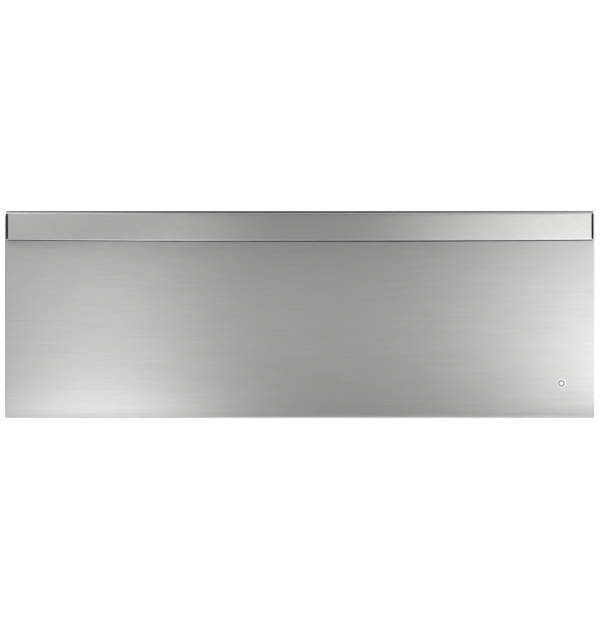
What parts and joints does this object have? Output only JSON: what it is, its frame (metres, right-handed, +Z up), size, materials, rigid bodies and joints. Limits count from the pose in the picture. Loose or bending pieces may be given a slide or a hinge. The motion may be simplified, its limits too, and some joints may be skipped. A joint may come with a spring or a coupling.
{
  "type": "warming drawer",
  "caption": "Built-in warming drawer: brushed steel front with a full-width bowed handle, heated cavity, telescopic slides, pan, half rack and hidden controls.",
  "frame": {"origin": "centre of the casing's flat underside", "axes": "+X to the right seen from the front, +Y into the cabinet, +Z up; the drawer opens towards -Y"},
  "size_m": [0.7556, 0.6877, 0.2662],
  "materials": {
    "front_steel": "satin",
    "frame_steel": "satin",
    "black_moulding": "satin",
    "control_plastic": "gloss",
    "zinc_sheet": "matte",
    "liner_steel": "satin",
    "mineral_wool": "matte",
    "heater_tube": "matte",
    "ceramic_white": "satin",
    "sensor_metal": "satin",
    "terminal_resin": "satin",
    "seal_rubber": "matte",
    "bumper_rubber": "matte",
    "button_plastic": "satin",
    "display_glass": "gloss",
    "board_resin": "satin",
    "slide_steel": "satin",
    "rail_steel": "satin",
    "pan_steel": "satin",
    "rack_chrome": "gloss",
    "shutter_steel": "satin",
    "screw_steel": "satin",
    "badge_chrome": "gloss"
  },
  "bodies": {
    "casing": {"base_pan": "zinc_sheet", "side_panel_right": "zinc_sheet", "side_panel_left": "zinc_sheet", "top_cover": "zinc_sheet", "back_panel": "zinc_sheet", "tie_down_brackets": "zinc_sheet", "front_frame": "frame_steel", "cavity_liner": "liner_steel", "cradle_channels": "zinc_sheet", "insulation_wrap": "mineral_wool", "insulation_base": "mineral_wool", "insulation_back": "mineral_wool", "heating_element": "heater_tube", "element_clips": "liner_steel", "element_terminals": "ceramic_white", "heat_deflector": "liner_steel", "temperature_probe": "sensor_metal", "limit_thermostat": "sensor_metal", "terminal_box": "zinc_sheet", "terminal_cover": "zinc_sheet", "terminal_block": "terminal_resin", "casing_screws": "screw_steel", "frame_bumpers": "bumper_rubber", "control_bezel": "control_plastic", "control_board": "board_resin", "control_housing": "control_plastic", "display_lenses": "display_glass", "slide_outer_right": "slide_steel", "slide_outer_left": "slide_steel", "slide_screws": "screw_steel"},
    "drawer": {"slide_inner_right": "slide_steel", "slide_inner_left": "slide_steel", "door_skin": "front_steel", "door_inner_panel": "frame_steel", "door_gasket": "seal_rubber", "door_insulation": "mineral_wool", "handle_skin": "front_steel", "handle_core": "black_moulding", "handle_backing_bar": "zinc_sheet", "handle_screws": "screw_steel", "emblem": "badge_chrome", "drawer_rail_right": "rail_steel", "drawer_rail_left": "rail_steel", "rear_crossbar": "rail_steel", "drawer_screws": "screw_steel", "warming_pan": "pan_steel", "half_rack": "rack_chrome"},
    "slide_middle_right": {"slide_middle_right": "slide_steel"},
    "slide_middle_left": {"slide_middle_left": "slide_steel"},
    "outer_cage_right": {"outer_cage_right": "slide_steel"},
    "outer_cage_left": {"outer_cage_left": "slide_steel"},
    "inner_cage_right": {"inner_cage_right": "slide_steel"},
    "inner_cage_left": {"inner_cage_left": "slide_steel"},
    "release_lever_right": {"release_lever_right": "black_moulding"},
    "release_lever_left": {"release_lever_left": "black_moulding"},
    "vent_shutter": {"vent_slider": "shutter_steel"},
    "power_button": {"power_button": "button_plastic"},
    "heat_button": {"heat_button": "button_plastic"},
    "proof_button": {"proof_button": "button_plastic"},
    "timer_button": {"timer_button": "button_plastic"}
  },
  "joints": [
    {"name": "drawer_slide", "type": "slide", "parent": "casing", "child": "drawer", "axis": [0, -1, 0], "range_m": [0, 0.525]},
    {"name": "outer_cage_right_slide", "type": "slide", "parent": "casing", "child": "outer_cage_right", "axis": [0, -1, 0], "range_m": [0, 0.13125]},
    {"name": "slide_middle_right_slide", "type": "slide", "parent": "casing", "child": "slide_middle_right", "axis": [0, -1, 0], "range_m": [0, 0.2625]},
    {"name": "inner_cage_right_slide", "type": "slide", "parent": "casing", "child": "inner_cage_right", "axis": [0, -1, 0], "range_m": [0, 0.39375]},
    {"name": "outer_cage_left_slide", "type": "slide", "parent": "casing", "child": "outer_cage_left", "axis": [0, -1, 0], "range_m": [0, 0.13125]},
    {"name": "slide_middle_left_slide", "type": "slide", "parent": "casing", "child": "slide_middle_left", "axis": [0, -1, 0], "range_m": [0, 0.2625]},
    {"name": "inner_cage_left_slide", "type": "slide", "parent": "casing", "child": "inner_cage_left", "axis": [0, -1, 0], "range_m": [0, 0.39375]},
    {"name": "release_lever_right_hinge", "type": "hinge", "parent": "drawer", "child": "release_lever_right", "pos_m": [0.3162, -0.125, 0.11], "axis": [1, 0, 0], "range_deg": [0, 10], "stiffness_Nm_per_rad": 0.01, "springref_deg": -5.73},
    {"name": "release_lever_left_hinge", "type": "hinge", "parent": "drawer", "child": "release_lever_left", "pos_m": [-0.3162, -0.125, 0.11], "axis": [1, 0, 0], "range_deg": [0, 10], "stiffness_Nm_per_rad": 0.01, "springref_deg": -5.73},
    {"name": "vent_shutter_slide", "type": "slide", "parent": "drawer", "child": "vent_shutter", "axis": [1, 0, 0], "range_m": [0, 0.02]},
    {"name": "power_button_press", "type": "slide", "parent": "casing", "child": "power_button", "axis": [0, 1, 0], "range_m": [0, 0.001], "stiffness_N_per_m": 600, "springref_m": -0.001},
    {"name": "heat_button_press", "type": "slide", "parent": "casing", "child": "heat_button", "axis": [0, 1, 0], "range_m": [0, 0.001], "stiffness_N_per_m": 600, "springref_m": -0.001},
    {"name": "proof_button_press", "type": "slide", "parent": "casing", "child": "proof_button", "axis": [0, 1, 0], "range_m": [0, 0.001], "stiffness_N_per_m": 600, "springref_m": -0.001},
    {"name": "timer_button_press", "type": "slide", "parent": "casing", "child": "timer_button", "axis": [0, 1, 0], "range_m": [0, 0.001], "stiffness_N_per_m": 600, "springref_m": -0.001}
  ],
  "couplings": [
    {"joint": "outer_cage_right_slide", "follows": "drawer_slide", "ratio": 0.25},
    {"joint": "slide_middle_right_slide", "follows": "drawer_slide", "ratio": 0.5},
    {"joint": "inner_cage_right_slide", "follows": "drawer_slide", "ratio": 0.75},
    {"joint": "outer_cage_left_slide", "follows": "drawer_slide", "ratio": 0.25},
    {"joint": "slide_middle_left_slide", "follows": "drawer_slide", "ratio": 0.5},
    {"joint": "inner_cage_left_slide", "follows": "drawer_slide", "ratio": 0.75}
  ]
}
